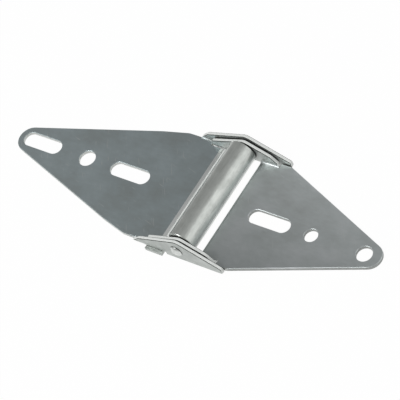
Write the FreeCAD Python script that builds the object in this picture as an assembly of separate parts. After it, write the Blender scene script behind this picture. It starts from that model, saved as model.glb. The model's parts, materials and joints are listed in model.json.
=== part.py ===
import FreeCAD, Part
import math
import os

from FreeCAD import Vector

# Garage door hinge: two tapered steel leaves that fold about a riveted pin.
# Lengths in mm. X runs along the leaves, Y along the pin, Z away from the door.
# The origin is under the middle of the hinge, on the plane that lies on the door.

# Sheet
sheet = 1.6                    # thickness of both leaves
bend_radius = 1.2              # inside radius of the ears' bends
edge_break = 0.2               # edge softened by the press on the upper side
roll_over_width = 1.5          # the shear pulls the sheet's edges down beside the barrel
roll_over_depth = 0.35

# Whole hinge
half_length = 95.9             # origin to either tip
pivot_x = 13.0
pivot_z = 6.4

# Leaf A, the long one
leaf_a_angle = 16.9            # each long edge to the centre line, degrees
leaf_a_tip_radius = 6.4
leaf_a_flare_start = -31.4     # where the edges swing out to the root
leaf_a_flare_end = -19.0
leaf_a_root_half = 27.4        # half width beside the ears' roots
leaf_a_flare_radius = 7.0
leaf_a_end = 0.8               # free edge beside the barrel

# Leaf B, the short one
leaf_b_angle = 20.8
leaf_b_tip_radius = 5.9
leaf_b_root_half = 27.1        # passes between the outer ears
leaf_b_shoulder_radius = 4.0   # where the straight root turns into the taper
leaf_b_start = 20.6            # free edge beside the barrel

# Outer ears, bent up from leaf A. Points of their side view are (x, z).
outer_ear_face = 29.2          # outside face, from the middle
outer_ear_start = -12.3
outer_ear_start_height = 1.6
outer_ear_root_end = -5.7      # the bend stops here and the ear runs on free
outer_ear_shoulder = (-8.3, 4.8)
outer_ear_shoulder_radius = 2.5
outer_ear_crown = (14.7, 13.1)
outer_crown_radius = 5.0
outer_ear_end = 34.6
outer_ear_tip_height = 3.1
outer_ear_lower = 0.2          # lower edge of the free part
outer_ear_corner_radius = 0.7
outer_ear_step = 5.6           # from here back to the root the lower edge clears the tongue
outer_ear_step_height = 1.9

# Inner ears, bent up from leaf B
inner_ear_face = 27.1
inner_ear_start = (-4.8, 4.6)
inner_ear_start_radius = 1.0
inner_ear_crown = (14.7, 12.2)
inner_crown_radius = 4.5
inner_ear_dip = (26.6, 6.2)
inner_ear_dip_radius = 3.0
inner_ear_end = 29.8
inner_ear_lower = 0.4

# Stop tongues, bent out from the inner ears under the outer ears
tongue_end = 3.9
tongue_face = 30.7
tongue_top = 1.7
tongue_bend = 0.25

# Notches in leaf A that the inner ears swing down through
notch_half = 25.2

# Barrel and pin
barrel_radius = 6.25
barrel_end_gap = 0.3
barrel_end_round = 0.5
pin_radius = 2.3
pin_running_fit = 0.08
pin_tight_fit = 0.03
head_radius = 2.85
head_rim = 0.3
head_height = 1.4

# Fastening holes: (middle, half of the straight run, radius)
leaf_a_holes = [(-82.8, 6.8, 3.5), (-57.4, 0.0, 3.9), (-33.6, 6.8, 3.5)]
leaf_b_holes = [(40.5, 6.9, 3.4), (61.5, 0.0, 3.1), (87.8, 0.0, 3.6)]

cut_margin = 1.0               # how far a cutting tool stands past the metal


def in_plan(u, v):
    return Vector(u, v, 0)


def in_side(u, v):
    return Vector(u, 0, v)


def in_section(u, v):
    return Vector(0, u, v)


def rounded_face(corners, place):
    """Closed outline through corners (u, v, radius), with arcs at the corners that have a radius."""
    count = len(corners)
    starts = []
    ends = []
    middles = []
    for i in range(count):
        here = Vector(corners[i][0], corners[i][1], 0)
        before = Vector(corners[i - 1][0], corners[i - 1][1], 0)
        after = Vector(corners[(i + 1) % count][0], corners[(i + 1) % count][1], 0)
        radius = corners[i][2]
        if radius == 0:
            starts.append(here)
            ends.append(here)
            middles.append(None)
            continue
        back = (before - here).normalize()
        ahead = (after - here).normalize()
        half_angle = back.getAngle(ahead) / 2
        run = radius / math.tan(half_angle)
        bisector = (back + ahead).normalize()
        starts.append(here + back * run)
        ends.append(here + ahead * run)
        middles.append(here + bisector * (radius / math.sin(half_angle) - radius))
    edges = []
    for i in range(count):
        if middles[i] is not None:
            arc = [place(p.x, p.y) for p in (starts[i], middles[i], ends[i])]
            edges.append(Part.Arc(*arc).toShape())
        line_start = ends[i]
        line_end = starts[(i + 1) % count]
        if line_start.distanceToPoint(line_end) > 1e-6:
            edges.append(Part.makeLine(place(line_start.x, line_start.y), place(line_end.x, line_end.y)))
    return Part.Face(Part.Wire(edges))


def mirrored(shape):
    return shape.mirror(Vector(0, 0, 0), Vector(0, 1, 0))


def long_hole(middle, half_run, radius):
    """Cutter for a round hole, or for a slot along X when it has a straight run."""
    depth = sheet + 2 * cut_margin
    cutter = Part.makeCylinder(radius, depth, Vector(middle - half_run, 0, -cut_margin))
    if half_run > 0:
        straight = Part.makeBox(2 * half_run, 2 * radius, depth, Vector(middle - half_run, -radius, -cut_margin))
        far_end = Part.makeCylinder(radius, depth, Vector(middle + half_run, 0, -cut_margin))
        cutter = cutter.fuse([straight, far_end]).removeSplitter()
    return cutter


def pivot_cutter(radius):
    length = 2 * (tongue_face + cut_margin)
    return Part.makeCylinder(radius, length, Vector(pivot_x, -length / 2, pivot_z), Vector(0, 1, 0))


def bent_strip(face_at, reach, start, end, height):
    """Upright flange with its bend: a section in YZ, run along X from start to end."""
    section = rounded_face([
        (face_at - reach, 0, 0),
        (face_at, 0, bend_radius + sheet),
        (face_at, height, 0),
        (face_at - sheet, height, 0),
        (face_at - sheet, sheet, bend_radius),
        (face_at - reach, sheet, 0),
    ], in_section)
    section.translate(Vector(start, 0, 0))
    return section.extrude(Vector(end - start, 0, 0))


def side_prism(corners, inner, outer):
    """Side view outline run across from one distance from the middle to another."""
    face = rounded_face(corners, in_side)
    face.translate(Vector(0, inner, 0))
    return face.extrude(Vector(0, outer - inner, 0))


def break_top_edges(shape, bend_line):
    """Take the sharpness off the outlines of the flat top, except where an ear bends up."""
    edges = []
    for edge in shape.Edges:
        box = edge.BoundBox
        on_top = box.ZMin > sheet - 1e-5 and box.ZMax < sheet + 1e-5
        nearest = min(abs(box.YMin), abs(box.YMax))
        furthest = max(abs(box.YMin), abs(box.YMax))
        on_bend = abs(nearest - bend_line) < 1e-5 and abs(furthest - bend_line) < 1e-5
        if on_top and not on_bend:
            edges.append(edge)
    return shape.makeChamfer(edge_break, edges)


def roll_over(edge_x, inward, half_width):
    """Cutter for a free edge pulled down by the shear; inward is the way from the edge into the sheet."""
    radius = (roll_over_width ** 2 + roll_over_depth ** 2) / (2 * roll_over_depth)
    turn = math.asin(roll_over_width / radius) / 2
    start_x = edge_x + inward * roll_over_width
    middle_x = start_x - inward * radius * math.sin(turn)
    middle_z = sheet - radius * (1 - math.cos(turn))
    outside_x = edge_x - inward * cut_margin
    top = sheet + cut_margin
    edges = [
        Part.Arc(
            in_side(start_x, sheet),
            in_side(middle_x, middle_z),
            in_side(edge_x, sheet - roll_over_depth),
        ).toShape(),
        Part.makeLine(in_side(edge_x, sheet - roll_over_depth), in_side(outside_x, sheet - roll_over_depth)),
        Part.makeLine(in_side(outside_x, sheet - roll_over_depth), in_side(outside_x, top)),
        Part.makeLine(in_side(outside_x, top), in_side(start_x, top)),
        Part.makeLine(in_side(start_x, top), in_side(start_x, sheet)),
    ]
    face = Part.Face(Part.Wire(edges))
    face.translate(Vector(0, -half_width, 0))
    return face.extrude(Vector(0, 2 * half_width, 0))


def leaf_a():
    slope = math.tan(math.radians(leaf_a_angle))
    tip_apex = -half_length + leaf_a_tip_radius - leaf_a_tip_radius / math.sin(math.radians(leaf_a_angle))
    flare_half = (leaf_a_flare_start - tip_apex) * slope
    reach = sheet + bend_radius
    bend_line = outer_ear_face - reach
    upper = [
        (leaf_a_flare_start, flare_half, leaf_a_flare_radius),
        (leaf_a_flare_end, leaf_a_root_half, leaf_a_flare_radius),
        (outer_ear_start, leaf_a_root_half, 0),
        (outer_ear_start, bend_line, 0),
        (outer_ear_root_end, bend_line, 0),
        (outer_ear_root_end, notch_half, 0),
        (leaf_a_end, notch_half, 0),
    ]
    lower = [(x, -y, radius) for x, y, radius in reversed(upper)]
    blank = rounded_face([(tip_apex, 0, leaf_a_tip_radius)] + upper + lower, in_plan)
    plate = blank.extrude(Vector(0, 0, sheet))
    for hole in leaf_a_holes:
        plate = plate.cut(long_hole(*hole))
    plate = break_top_edges(plate, bend_line)
    plate = plate.cut(roll_over(leaf_a_end, -1, notch_half + cut_margin))

    ear_rise = (outer_ear_crown[1] - outer_ear_shoulder[1]) / (outer_ear_crown[0] - outer_ear_shoulder[0])
    root_end_height = outer_ear_shoulder[1] + ear_rise * (outer_ear_root_end - outer_ear_shoulder[0])
    root_outline = [
        (outer_ear_start, 0, 0),
        (outer_ear_start, outer_ear_start_height, 0),
        (*outer_ear_shoulder, outer_ear_shoulder_radius),
        (*outer_ear_crown, 0),
        (outer_ear_crown[0], 0, 0),
    ]
    free_outline = [
        (outer_ear_root_end, root_end_height, 0),
        (*outer_ear_crown, outer_crown_radius),
        (outer_ear_end, outer_ear_tip_height, outer_ear_corner_radius),
        (outer_ear_end, outer_ear_lower, outer_ear_corner_radius),
        (outer_ear_step, outer_ear_lower, 0),
        (outer_ear_step, outer_ear_step_height, 0),
        (outer_ear_root_end, outer_ear_step_height, 0),
    ]
    strip = bent_strip(outer_ear_face, reach, outer_ear_start, outer_ear_root_end, outer_ear_crown[1])
    root = strip.common(side_prism(root_outline, bend_line - cut_margin, outer_ear_face + cut_margin))
    arm = side_prism(free_outline, outer_ear_face - sheet, outer_ear_face)
    ear = root.fuse(arm).removeSplitter()
    ear = ear.cut(pivot_cutter(pin_radius + pin_tight_fit))
    return plate.fuse([ear, mirrored(ear)]).removeSplitter()


def leaf_b():
    slope = math.tan(math.radians(leaf_b_angle))
    tip_apex = half_length - leaf_b_tip_radius + leaf_b_tip_radius / math.sin(math.radians(leaf_b_angle))
    taper_start = tip_apex - leaf_b_root_half / slope
    reach = sheet + bend_radius
    bend_line = inner_ear_face - reach
    upper = [
        (leaf_b_start, bend_line, 0),
        (inner_ear_end, bend_line, 0),
        (inner_ear_end, leaf_b_root_half, 0),
        (taper_start, leaf_b_root_half, leaf_b_shoulder_radius),
    ]
    lower = [(x, -y, radius) for x, y, radius in reversed(upper)]
    blank = rounded_face(upper + [(tip_apex, 0, leaf_b_tip_radius)] + lower, in_plan)
    plate = blank.extrude(Vector(0, 0, sheet))
    for hole in leaf_b_holes:
        plate = plate.cut(long_hole(*hole))
    plate = break_top_edges(plate, bend_line)
    plate = plate.cut(roll_over(leaf_b_start, 1, bend_line))

    top = [
        (*inner_ear_start, inner_ear_start_radius),
        (*inner_ear_crown, inner_crown_radius),
        (*inner_ear_dip, inner_ear_dip_radius),
    ]
    root_outline = top + [(inner_ear_end, sheet, 0), (inner_ear_end, 0, 0), (inner_ear_start[0], 0, 0)]
    dip_run = (inner_ear_end - inner_ear_dip[0]) / (inner_ear_dip[1] - sheet)
    whole_outline = top + [
        (inner_ear_end - bend_radius * dip_run, reach, 0),
        (leaf_b_start, reach, 0),
        (leaf_b_start, inner_ear_lower, 0),
        (tongue_end, inner_ear_lower, 0),
        (tongue_end, reach, 0),
        (inner_ear_start[0], reach, 0),
    ]
    strip = bent_strip(inner_ear_face, reach, leaf_b_start, inner_ear_end, inner_ear_crown[1])
    root = strip.common(side_prism(root_outline, bend_line - cut_margin, inner_ear_face + cut_margin))
    arm = side_prism(whole_outline, inner_ear_face - sheet, inner_ear_face)
    tongue = stop_tongue()
    ear = root.fuse([arm, tongue]).removeSplitter()
    ear = ear.cut(pivot_cutter(pin_radius + pin_running_fit))
    return plate.fuse([ear, mirrored(ear)]).removeSplitter()


def stop_tongue():
    """Lug bent outwards from the foot of an inner ear."""
    height = sheet + bend_radius
    outside = tongue_bend + sheet
    inner_face = inner_ear_face - sheet
    section = rounded_face([
        (inner_face, height, 0),
        (inner_face, tongue_top - sheet, outside),
        (tongue_face, tongue_top - sheet, 0),
        (tongue_face, tongue_top, 0),
        (inner_ear_face, tongue_top, tongue_bend),
        (inner_ear_face, height, 0),
    ], in_section)
    section.translate(Vector(inner_ear_start[0], 0, 0))
    return section.extrude(Vector(tongue_end - inner_ear_start[0], 0, 0))


def barrel_tube():
    half = inner_ear_face - sheet - barrel_end_gap
    outline = rounded_face([
        (-half, pin_radius + pin_tight_fit, 0),
        (-half, barrel_radius, barrel_end_round),
        (half, barrel_radius, barrel_end_round),
        (half, pin_radius + pin_tight_fit, 0),
    ], in_section)
    tube = outline.revolve(Vector(0, 0, 0), Vector(0, 1, 0), 360)
    tube.translate(Vector(pivot_x, 0, pivot_z))
    return tube


def hinge_pin():
    face = outer_ear_face
    dome_height = head_height - head_rim
    dome_radius = (head_radius ** 2 + dome_height ** 2) / (2 * dome_height)
    turn = math.asin(head_radius / dome_radius) / 2
    top = face + head_height
    middle_y = top - dome_radius * (1 - math.cos(turn))
    middle_r = dome_radius * math.sin(turn)

    def line(first, second):
        return Part.makeLine(in_section(*first), in_section(*second))

    def dome(side):
        points = [(side * (face + head_rim), head_radius), (side * middle_y, middle_r), (side * top, 0)]
        return Part.Arc(*[in_section(*point) for point in points]).toShape()

    edges = [
        dome(-1),
        line((-face - head_rim, head_radius), (-face, head_radius)),
        line((-face, head_radius), (-face, pin_radius)),
        line((-face, pin_radius), (face, pin_radius)),
        line((face, pin_radius), (face, head_radius)),
        line((face, head_radius), (face + head_rim, head_radius)),
        dome(1),
        line((top, 0), (-top, 0)),
    ]
    outline = Part.Face(Part.Wire(Part.__sortEdges__(edges)))
    pin = outline.revolve(Vector(0, 0, 0), Vector(0, 1, 0), 360)
    pin.translate(Vector(pivot_x, 0, pivot_z))
    return pin


nodes = {
    "leaf_a": leaf_a(),
    "leaf_b": leaf_b(),
    "barrel_tube": barrel_tube(),
    "hinge_pin": hinge_pin(),
}

os.makedirs("parts", exist_ok=True)
for name, shape in nodes.items():
    solid = shape.Solids[0] if len(shape.Solids) == 1 else shape
    solid.exportStep("parts/" + name + ".step")
    box = solid.BoundBox
    print(name, "solids", len(shape.Solids), "valid", shape.isValid(), "volume", round(solid.Volume, 1))
    print("  x", round(box.XMin, 2), round(box.XMax, 2), "y", round(box.YMin, 2), round(box.YMax, 2),
          "z", round(box.ZMin, 2), round(box.ZMax, 2))
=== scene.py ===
import bpy
import bmesh
import json
from math import atan2, cos, degrees, radians, sin
from mathutils import Matrix, Vector

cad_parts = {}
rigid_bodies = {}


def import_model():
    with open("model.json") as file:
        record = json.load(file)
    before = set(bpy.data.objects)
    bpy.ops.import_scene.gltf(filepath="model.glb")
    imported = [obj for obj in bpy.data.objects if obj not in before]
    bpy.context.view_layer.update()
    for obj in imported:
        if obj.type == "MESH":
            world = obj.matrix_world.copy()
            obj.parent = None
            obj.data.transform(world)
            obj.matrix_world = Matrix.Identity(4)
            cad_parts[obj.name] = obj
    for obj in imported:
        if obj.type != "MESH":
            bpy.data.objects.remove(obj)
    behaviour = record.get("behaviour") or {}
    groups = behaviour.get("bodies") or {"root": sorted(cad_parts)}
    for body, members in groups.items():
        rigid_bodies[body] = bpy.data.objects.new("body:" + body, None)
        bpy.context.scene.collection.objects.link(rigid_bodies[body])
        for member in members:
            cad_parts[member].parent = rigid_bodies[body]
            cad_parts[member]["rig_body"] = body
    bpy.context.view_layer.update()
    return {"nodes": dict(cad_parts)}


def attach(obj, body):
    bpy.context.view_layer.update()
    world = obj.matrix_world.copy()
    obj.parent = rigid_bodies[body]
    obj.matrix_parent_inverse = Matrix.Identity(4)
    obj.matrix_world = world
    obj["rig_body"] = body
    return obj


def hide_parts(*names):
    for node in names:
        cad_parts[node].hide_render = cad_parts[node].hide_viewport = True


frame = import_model()
millimetre = 0.001
alongAxis = 0.05                      # a face whose normal leans less than this to an axis runs along it
noneMm = 99                           # beyond every face, for a piece that lacks the feature
noiseReach = (0.3, 0.7)               # nearly all of the noise lies between these
noiseRoughness = 0.6
toneStops = (0.34, 0.50, 0.66)        # noise values that give the dark, base and light tone

print("Frame loaded")


# Tools used by every piece

def hexColour(text):
    channels = [int(text[i:i + 2], 16) / 255 for i in (1, 3, 5)]
    linear = [c / 12.92 if c <= 0.04045 else ((c + 0.055) / 1.055) ** 2.4 for c in channels]
    return (*linear, 1.0)


def addNode(tree, kind, inputs=None, **settings):
    node = tree.nodes.new(kind)
    for name, value in settings.items():
        setattr(node, name, value)
    for name, value in (inputs or {}).items():
        # a mix node has sockets of one name for each kind of data, and only one of them is in use
        socket = node.inputs[name]
        if isinstance(name, str):
            socket = [s for s in node.inputs if s.name == name and s.enabled][0]
        if isinstance(value, bpy.types.NodeSocket):
            tree.links.new(value, socket)
        else:
            socket.default_value = value
    return node


def newMaterial(name):
    material = bpy.data.materials.new(name)
    material.use_nodes = True
    material.node_tree.nodes.clear()
    return material, material.node_tree


def grain(tree, place, stretch, detail):
    # noise whose blobs measure stretch = (x, y, z) in mm on the piece
    scale = tuple(1 / (size * millimetre) for size in stretch)
    mapped = addNode(tree, "ShaderNodeMapping", {"Vector": place, "Scale": scale})
    noise = addNode(tree, "ShaderNodeTexNoise", {
        "Vector": mapped.outputs["Vector"],
        "Scale": 1.0,
        "Detail": detail,
        "Roughness": noiseRoughness,
    })
    return noise.outputs["Fac"]


def ramp(tree, factor, stops):
    node = addNode(tree, "ShaderNodeValToRGB", {"Fac": factor})
    elements = node.color_ramp.elements
    while len(elements) < len(stops):
        elements.new(0.5)
    for element, (position, colour) in zip(elements, stops):
        element.position = position
        element.color = colour
    return node.outputs["Color"]


def level(tree, factor, low, high):
    node = addNode(tree, "ShaderNodeMapRange", {
        "Value": factor,
        "From Min": noiseReach[0],
        "From Max": noiseReach[1],
        "To Min": low,
        "To Max": high,
    })
    return node.outputs["Result"]


def scratches(tree, place, finish):
    # short straight scuffs in two directions, 0 where there is none
    marks = []
    for turn in finish["scuffDegrees"]:
        turned = addNode(tree, "ShaderNodeMapping", {
            "Vector": place,
            "Rotation": (0, 0, radians(turn)),
            "Location": (finish["scuffShift"] * turn, 0, 0),
        })
        line = grain(tree, turned.outputs["Vector"], finish["scuffMm"], 0.0)
        marks.append(addNode(tree, "ShaderNodeMapRange", {
            "Value": line,
            "From Min": finish["scuffFrom"],
            "From Max": finish["scuffFrom"] + finish["scuffFade"],
        }))
    both = addNode(tree, "ShaderNodeMath", {
        0: marks[0].outputs["Result"], 1: marks[1].outputs["Result"]}, operation="MAXIMUM")
    return both.outputs[0]


def shade(tree, place, finish):
    # a painted gradient of light across the sheet, and painted shade that darkens narrow gaps
    # painted light: the tone rises and falls along a straight slope across the piece
    perMetre = [share / millimetre for share in finish["paintedLightPerMm"]]
    paintedLightSlope = addNode(
        tree, "ShaderNodeVectorMath", {0: place, 1: (*perMetre, 0.0)}, operation="DOT_PRODUCT")
    tone = addNode(tree, "ShaderNodeMath", {0: paintedLightSlope.outputs["Value"], 1: finish["paintedLightBase"]})
    if not finish["paintedShadeMm"]:
        return tone.outputs[0]
    # painted shade: the colour darkens where nearby surfaces close in around a point
    openAir = addNode(tree, "ShaderNodeAmbientOcclusion", {"Distance": finish["paintedShadeMm"] * millimetre})
    paintedShade = addNode(tree, "ShaderNodeMapRange", {
        "Value": openAir.outputs["AO"],
        "From Min": finish["paintedShadeFullAt"],
        "From Max": finish["paintedShadeNoneAt"],
        "To Min": finish["paintedShadeDarkest"],
    })
    both = addNode(tree, "ShaderNodeMath", {
        0: tone.outputs[0], 1: paintedShade.outputs["Result"]}, operation="MULTIPLY")
    return both.outputs[0]


def platedSteel(finish):
    material, tree = newMaterial(finish["name"])
    place = addNode(tree, "ShaderNodeTexCoord").outputs["Object"]
    cloud = grain(tree, place, finish["cloudMm"], finish["cloudDetail"])
    fine = grain(tree, place, finish["fineMm"], finish["fineDetail"])
    streak = grain(tree, place, finish["streakMm"], finish["streakDetail"])
    mixed = addNode(tree, "ShaderNodeMix", {"Factor": finish["streakShare"], "A": cloud, "B": streak})
    tones = [hexColour(finish[tone]) for tone in ("dark", "base", "light")]
    colour = ramp(tree, mixed.outputs["Result"], list(zip(toneStops, tones)))
    if finish["scuffDegrees"]:
        scuffed = addNode(tree, "ShaderNodeMix", {
            "Factor": scratches(tree, place, finish),
            "A": colour,
            "B": hexColour(finish["scuffColour"]),
        }, data_type="RGBA")
        colour = scuffed.outputs["Result"]
    shaded = addNode(tree, "ShaderNodeMix", {
        "Factor": 1.0,
        "A": colour,
        "B": shade(tree, place, finish),
    }, data_type="RGBA", blend_type="MULTIPLY")
    rough = level(tree, mixed.outputs["Result"], finish["roughHigh"], finish["roughLow"])
    height = addNode(tree, "ShaderNodeMix", {"Factor": finish["streakShare"], "A": fine, "B": streak})
    bump = addNode(tree, "ShaderNodeBump", {
        "Height": height.outputs["Result"],
        "Strength": finish["bumpStrength"],
        "Distance": finish["bumpMm"] * millimetre,
    })
    shader = addNode(tree, "ShaderNodeBsdfPrincipled", {
        "Base Color": shaded.outputs["Result"],
        "Roughness": rough,
        "Normal": bump.outputs["Normal"],
        "Metallic": finish["metallic"],
    })
    addNode(tree, "ShaderNodeOutputMaterial", {"Surface": shader.outputs["BSDF"]})
    return material


def mergedCopy(cad, settings):
    # the CAD node's triangles, joined into the solid's own faces
    shape = bmesh.new()
    shape.from_mesh(cad.data)
    bmesh.ops.remove_doubles(shape, verts=shape.verts, dist=settings["mergeMm"] * millimetre)
    bmesh.ops.dissolve_limit(
        shape, angle_limit=radians(settings["flatDegrees"]), verts=shape.verts, edges=shape.edges)
    return shape


def roundEdges(shape, edges, roundMm):
    edges = [edge for edge in edges if edge.is_valid]
    made = bmesh.ops.bevel(
        shape, geom=edges, offset=roundMm * millimetre, offset_type="OFFSET",
        segments=2, profile=0.5, affect="EDGES", material=-1, clamp_overlap=False)
    return made["faces"]


def roundPiece(shape, settings, kinds):
    # the ears' free edges come first and have a finish of their own, painted dark as a reflection; edges
    # in the bends stay sharp
    sharp = []
    earEdges = []
    for edge in shape.edges:
        if len(edge.link_faces) == 2 and edge.calc_face_angle() > radians(settings["sharpDegrees"]):
            out = min(abs(vert.co.y) for vert in edge.verts)
            free = min(vert.co.z for vert in edge.verts) > settings["earFreeFromMm"] * millimetre
            if free and out > settings["earFromMm"] * millimetre:
                earEdges.append(edge)
            elif free or out < settings["bendFromMm"] * millimetre:
                sharp.append(edge)
    for face in roundEdges(shape, earEdges, settings["earRoundMm"]):
        face.material_index = kinds.index("earEdge")
    roundEdges(shape, sharp, settings["edgeRoundMm"])


def dressNode(nodeName, settings, finishes, kindOfFace):
    # the CAD node's own solid with its sharp edges rounded and a finish for each kind of face
    cad = frame["nodes"][nodeName]
    mesh = bpy.data.meshes.new(settings["piece"])
    shape = mergedCopy(cad, settings)
    kinds = list(finishes)
    for face in shape.faces:
        face.material_index = kinds.index(kindOfFace(face, settings))
    roundPiece(shape, settings, kinds)
    for face in shape.faces:
        face.smooth = face.calc_area() < settings["flatAreaMm2"] * millimetre ** 2
    bmesh.ops.triangulate(shape, faces=[face for face in shape.faces if len(face.verts) > 4])
    shape.to_mesh(mesh)
    shape.free()
    for material in finishes.values():
        mesh.materials.append(material)
    flats = [polygon for polygon in mesh.polygons if not polygon.use_smooth]
    mesh.set_sharp_from_angle(angle=radians(settings["sharpDegrees"]))
    for polygon in flats:
        polygon.use_smooth = False
    piece = bpy.data.objects.new(settings["piece"], mesh)
    bpy.context.scene.collection.objects.link(piece)
    body = cad["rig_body"]
    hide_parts(nodeName)
    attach(piece, body)


# Long leaf: zinc-plated steel sheet, rolled and then blanked, a dull grey with faint clouds and a
# painted gradient of light along it

longLeaf = {
    "piece": "longLeafSheet",
    "slot": "leaf_a_steel",
    "mergeMm": 0.002,                 # corners nearer than this are one
    "flatDegrees": 0.5,               # faces that meet at less than this are one
    "sharpDegrees": 32,               # edges that turn more than this are rounded
    "edgeRoundMm": 0.1,
    "flatAreaMm2": 40,                # larger faces are shaded flat
    "earFromMm": 27.5,                # this far out along the pin a face belongs to an ear
    "tongueFromMm": noneMm,           # only the short leaf has tongues
    "earRoundMm": 0.22,               # softer than the flat leaf's edges
    "earFreeFromMm": 2.6,             # above the bends and the tongues
    "bendFromMm": 26.3,               # the bends and what is below them keep the CAD's own edges
    "roundedEdgeMm": (-0.75, 0.85),   # the strip in x beside the barrel that the shear pulled down; on the long leaf it is painted bright
    "shadedCornerMm": (8, 24.9),       # nearer the middle in x and further out in y: the ears' finish, with its painted shade
}
rolledZincLong = {
    "name": "rolledZincSteelLong",
    "base": "#b0bbbd",
    "dark": "#a5adad",
    "light": "#bcc8cb",
    "cloudMm": (22, 16, 16),
    "cloudDetail": 4.0,
    "fineMm": (0.5, 0.5, 0.5),        # real grain is finer, drawn as coarse as it shows
    "fineDetail": 2.0,
    "streakMm": (5, 2, 2),
    "streakDetail": 3.0,
    "streakShare": 0.2,
    "roughLow": 0.36,
    "roughHigh": 0.46,
    "bumpStrength": 0.35,
    "bumpMm": 0.008,
    "metallic": 1.0,
    "scuffDegrees": (55, 15),
    "scuffMm": (5, 0.35, 3),
    "scuffShift": 0.01,               # metres for each degree, so that the two directions differ
    "scuffFrom": 0.8,
    "scuffFade": 0.06,
    "scuffColour": "#c9cecd",
    # painted light: how fast the tone changes across the leaf, and its level at the origin
    "paintedLightPerMm": (-0.0015, -0.0004),
    "paintedLightBase": 0.90,
    "paintedShadeMm": 0.0,                     # 0 paints no shade in the gaps
    # painted shade: darkest below the first openness, none above the second, and at most this share of
    # the colour
    "paintedShadeFullAt": 0.1,
    "paintedShadeNoneAt": 0.85,
    "paintedShadeDarkest": 0.12,
}

# The same steel without scuffs and without the painted gradient of light, for what is smaller than a
# leaf

evenZinc = dict(rolledZincLong, scuffDegrees=(), paintedLightPerMm=(0, 0), paintedLightBase=1.0)

# Short leaf: the same sheet, a slightly brighter grey, with a steeper painted gradient of light across
# it

shortLeaf = dict(
    longLeaf, piece="shortLeafSheet", slot="leaf_b_steel", earFromMm=25.4, tongueFromMm=27.2,
    bendFromMm=24.2, roundedEdgeMm=(20.55, 22.15))
rolledZincShort = dict(
    rolledZincLong, name="rolledZincSteelShort", base="#bfc5c5", dark="#b1b6b5", light="#cdd2d3",
    paintedLightPerMm=(0.001, 0.009), paintedLightBase=1.01)

# Ears: the same sheet, bent up, with painted shade in the gaps between them

bentZincEar = dict(
    evenZinc, name="bentZincEar", base="#bec2bf", dark="#b4b8b5", light="#c8ccc9",
    cloudMm=(6, 6, 6), roughLow=0.5, roughHigh=0.6, paintedShadeMm=0.8, paintedShadeFullAt=0.3, paintedShadeNoneAt=0.75)

# Ears' rounded edges: painted dark, a painted reflection that draws fine dark lines beside the pale rims

darkEdgeReflection = dict(
    bentZincEar, name="darkEdgeReflection", base="#565a57", dark="#4d504e", light="#5e615f")

# Sheared edges: the cut through the sheet, paler and matt, scored across by the die

shearedEdgeLong = dict(
    evenZinc, name="shearedEdgeLong", base="#d3d6d3", dark="#bfc3c0", light="#e0e2e0",
    cloudMm=(2, 2, 2), streakMm=(0.4, 0.4, 3), streakShare=0.6, roughLow=0.48, roughHigh=0.6,
    bumpStrength=0.5, bumpMm=0.02, metallic=0.3)
# The short leaf's sheared edges: the same cut, painted darker as shade
shadedShearedEdgeShort = dict(
    shearedEdgeLong, name="shadedShearedEdgeShort", base="#a3a6a4", dark="#949795", light="#b0b3b1")
shearedEarRim = dict(
    shearedEdgeLong, name="shearedEarRim", base="#f1f4f1", dark="#e6eae6", light="#f8faf8",
    metallic=0.0, paintedShadeMm=1.0, paintedShadeFullAt=0.15)

# Long leaf's end beside the barrel: the shear pulled its edge down; a painted highlight on the rounded
# edge, and painted light on the cut wall in the barrel's shade

roundedEdgeHighlight = dict(
    evenZinc, name="roundedEdgeHighlight", base="#dfe2e0", dark="#d2d5d3", light="#e8eae9",
    streakMm=(2, 6, 2), streakShare=0.5)
litCutEdge = dict(
    shearedEdgeLong, name="litCutEdge", base="#eef0ee", dark="#e0e3e0", light="#f5f6f5",
    metallic=0.7)


def leafFace(face, settings):
    # which finish a leaf's face has, by where it lies and the way it faces
    normal = face.normal
    middle = face.calc_center_median()
    edgeFrom, edgeTo = [x * millimetre for x in settings["roundedEdgeMm"]]
    cornerX, cornerY = [size * millimetre for size in settings["shadedCornerMm"]]
    if abs(middle.y) > settings["tongueFromMm"] * millimetre:
        return "ear"
    if abs(middle.y) > settings["earFromMm"] * millimetre:
        return "earRim" if abs(normal.y) < alongAxis else "ear"
    # the corners beside the ears take the ears' finish, with its painted shade
    if abs(middle.x) < cornerX and abs(middle.y) > cornerY:
        return "ear"
    # the strip beside the barrel: the painted highlight, and painted light on its cut wall
    if edgeFrom < middle.x < edgeTo:
        return "brightCut" if abs(normal.z) < alongAxis else "roundedEdge"
    return "cutEdge" if abs(normal.z) < alongAxis else "sheet"


# Barrel: a welded steel tube, zinc plated, smoother than the sheet, streaked along its length, with
# painted shade in its narrow gaps and a painted highlight along the side that faces the short leaf

roundBar = {
    "mergeMm": 0.002,
    "flatDegrees": 0.1,
    "sharpDegrees": 40,
    "flatAreaMm2": 400,
    "earFromMm": noneMm,
    "earRoundMm": 0,
    "earFreeFromMm": 0,
    "bendFromMm": noneMm,
}
barrel = dict(
    roundBar, piece="barrelSleeve", slot="barrel_steel", edgeRoundMm=0.1, highlightDegrees=(-13, 2))
weldedZincTube = dict(
    evenZinc, name="weldedZincTube", base="#cbcfcb", dark="#bcc0bb", light="#d6dad5",
    cloudMm=(3, 5, 3), fineMm=(0.4, 0.6, 0.4), streakMm=(1, 8, 1), streakShare=0.4,
    roughLow=0.3, roughHigh=0.38, bumpStrength=0.4, bumpMm=0.012, paintedShadeMm=0.8)
barrelEdgeHighlight = dict(
    weldedZincTube, name="barrelEdgeHighlight", base="#e0e3e0", dark="#d3d6d3", light="#eaecea",
    metallic=0.6)


def tubeFace(face, settings):
    # a painted highlight runs along the side that faces the short leaf
    lean = degrees(atan2(face.normal.z, face.normal.x))
    highlightFrom, highlightTo = settings["highlightDegrees"]
    return "highlightStrip" if highlightFrom < lean < highlightTo and abs(face.normal.y) < alongAxis else "tube"


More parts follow.
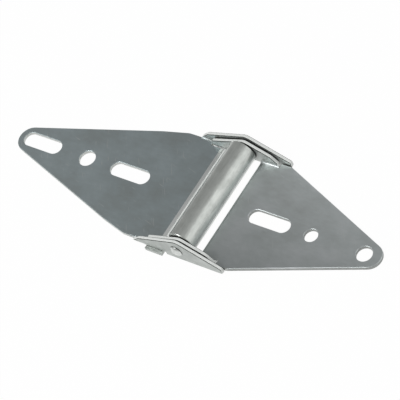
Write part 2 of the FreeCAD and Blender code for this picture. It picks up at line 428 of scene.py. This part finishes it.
# Pin: mild steel rod with hammered heads, plated with the rest, with painted shade in the narrow gaps
# around it

pin = dict(roundBar, piece="rivetedPin", slot="pin_steel", edgeRoundMm=0.08)
hammeredPin = dict(
    weldedZincTube, name="hammeredPin", base="#d3d6d3", dark="#bdc0bd", light="#dee0de",
    cloudMm=(1.6, 1.6, 1.6), fineMm=(0.7, 0.7, 0.7), streakShare=0.2, bumpStrength=0.6,
    bumpMm=0.03, paintedShadeMm=1.0, paintedShadeFullAt=0.5, paintedShadeNoneAt=0.92)


def pinFace(face, settings):
    return "pin"


def makePieces():
    ear = platedSteel(bentZincEar)
    earEdge = platedSteel(darkEdgeReflection)
    earRim = platedSteel(shearedEarRim)
    dressNode("leaf_a", longLeaf, {
        "sheet": platedSteel(rolledZincLong),
        "cutEdge": platedSteel(shearedEdgeLong),
        "ear": ear,
        "earEdge": earEdge,
        "earRim": earRim,
        "roundedEdge": platedSteel(roundedEdgeHighlight),
        "brightCut": platedSteel(litCutEdge),
    }, leafFace)
    shortSheet = platedSteel(rolledZincShort)
    shortCut = platedSteel(shadedShearedEdgeShort)
    dressNode("leaf_b", shortLeaf, {
        "sheet": shortSheet,
        "cutEdge": shortCut,
        "ear": ear,
        "earEdge": earEdge,
        "earRim": earRim,
        "roundedEdge": shortSheet,
        "brightCut": shortCut,
    }, leafFace)
    dressNode("barrel_tube", barrel, {
        "tube": platedSteel(weldedZincTube),
        "highlightStrip": platedSteel(barrelEdgeHighlight),
    }, tubeFace)
    dressNode("hinge_pin", pin, {"pin": platedSteel(hammeredPin)}, pinFace)
    print("Pieces made")


# Studio: pale floor, soft lamps

studio = {
    "floorSize": 6.0,
    "floorColour": "#f2f2f1",
    "floorGlowShare": 0.98,
    "coverMm": 1.6,                   # the floor's glow dies in slits narrower than this
    "coverDark": 0.1,
    "coverOpen": 0.4,
    "worldLevel": 0.36,
    "lamps": [
        # name, place, size, power
        ("keyLamp", (-0.35, -0.60, 0.85), 0.5, 5.5),
        ("stripeLamp", (0.97, 0.43, 0.565), 1.15, 2.5),
        ("topLamp", (0.35, 0.45, 1.1), 0.8, 0.2),
    ],
}


def makeFloor():
    floorMesh = bpy.data.meshes.new("floor")
    shape = bmesh.new()
    bmesh.ops.create_grid(shape, x_segments=2, y_segments=2, size=studio["floorSize"] / 2)
    shape.to_mesh(floorMesh)
    shape.free()
    floor = bpy.data.objects.new("floor", floorMesh)
    bpy.context.scene.collection.objects.link(floor)

    # matt where light falls on it, and plain white where it is seen or mirrored
    material, tree = newMaterial("paleFloor")
    rays = addNode(tree, "ShaderNodeLightPath")
    seenOrMirrored = addNode(tree, "ShaderNodeMath", {
        0: rays.outputs["Is Camera Ray"], 1: rays.outputs["Is Glossy Ray"]}, operation="MAXIMUM")
    seen = addNode(tree, "ShaderNodeMath", {
        0: seenOrMirrored.outputs[0],
        1: rays.outputs["Is Transmission Ray"],
    }, operation="MAXIMUM")
    openAir = addNode(tree, "ShaderNodeAmbientOcclusion", {"Distance": studio["coverMm"] * millimetre})
    uncovered = addNode(tree, "ShaderNodeMapRange", {
        "Value": openAir.outputs["AO"],
        "From Min": studio["coverDark"],
        "From Max": studio["coverOpen"],
        "To Max": studio["floorGlowShare"],
    })
    share = addNode(tree, "ShaderNodeMath", {
        0: seen.outputs[0], 1: uncovered.outputs["Result"]}, operation="MULTIPLY")
    matt = addNode(tree, "ShaderNodeBsdfDiffuse", {"Color": hexColour(studio["floorColour"])})
    glow = addNode(tree, "ShaderNodeEmission", {"Color": (1, 1, 1, 1), "Strength": 1.0})
    mix = addNode(tree, "ShaderNodeMixShader", {
        0: share.outputs[0], 1: matt.outputs["BSDF"], 2: glow.outputs["Emission"]})
    addNode(tree, "ShaderNodeOutputMaterial", {"Surface": mix.outputs["Shader"]})
    floorMesh.materials.append(material)
    print("Floor made")


def makeWorld():
    # white where the camera sees it, dimmer as a light
    world = bpy.data.worlds.new("studioWorld")
    world.use_nodes = True
    tree = world.node_tree
    tree.nodes.clear()
    rays = addNode(tree, "ShaderNodeLightPath")
    strength = addNode(tree, "ShaderNodeMapRange", {
        "Value": rays.outputs["Is Camera Ray"], "To Min": studio["worldLevel"], "To Max": 1.0})
    sky = addNode(tree, "ShaderNodeBackground", {
        "Color": (1, 1, 1, 1), "Strength": strength.outputs["Result"]})
    addNode(tree, "ShaderNodeOutputWorld", {"Surface": sky.outputs["Background"]})
    bpy.context.scene.world = world
    print("World made")


def makeLamps():
    for name, place, size, power in studio["lamps"]:
        lamp = bpy.data.lights.new(name, "AREA")
        lamp.shape = "DISK"
        lamp.size = size
        lamp.energy = power
        holder = bpy.data.objects.new(name, lamp)
        holder.location = place
        holder.rotation_euler = (-Vector(place)).to_track_quat("-Z", "Y").to_euler()
        bpy.context.scene.collection.objects.link(holder)
    print("Lamps made")


# Camera: a long lens from the short leaf's side, rolled so that the hinge lies across the picture

view = {
    "place": (0.5768, -0.3830, 0.7986),
    "target": (0.0041, -0.0005, 0.0),
    "rollDegrees": 29.5,
    "lensMm": 225.0,
    "sensorMm": 36.0,
    "clipFrom": 0.01,
    "clipTo": 50.0,
}


def makeCamera():
    camera = bpy.data.cameras.new("photoCamera")
    camera.lens = view["lensMm"]
    camera.sensor_width = view["sensorMm"]
    camera.clip_start = view["clipFrom"]
    camera.clip_end = view["clipTo"]
    holder = bpy.data.objects.new("photoCamera", camera)
    ahead = (Vector(view["target"]) - Vector(view["place"])).normalized()
    across = ahead.cross(Vector((0, 0, 1))).normalized()
    upright = across.cross(ahead)
    roll = radians(view["rollDegrees"])
    up = upright * cos(roll) + across * sin(roll)
    right = ahead.cross(up)
    turn = Matrix((right, up, -ahead)).transposed().to_4x4()
    holder.matrix_world = Matrix.Translation(view["place"]) @ turn
    bpy.context.scene.collection.objects.link(holder)
    bpy.context.scene.camera = holder
    print("Camera set")


makePieces()
makeFloor()
makeWorld()
makeLamps()
makeCamera()
bpy.context.scene.view_settings.view_transform = "Standard"
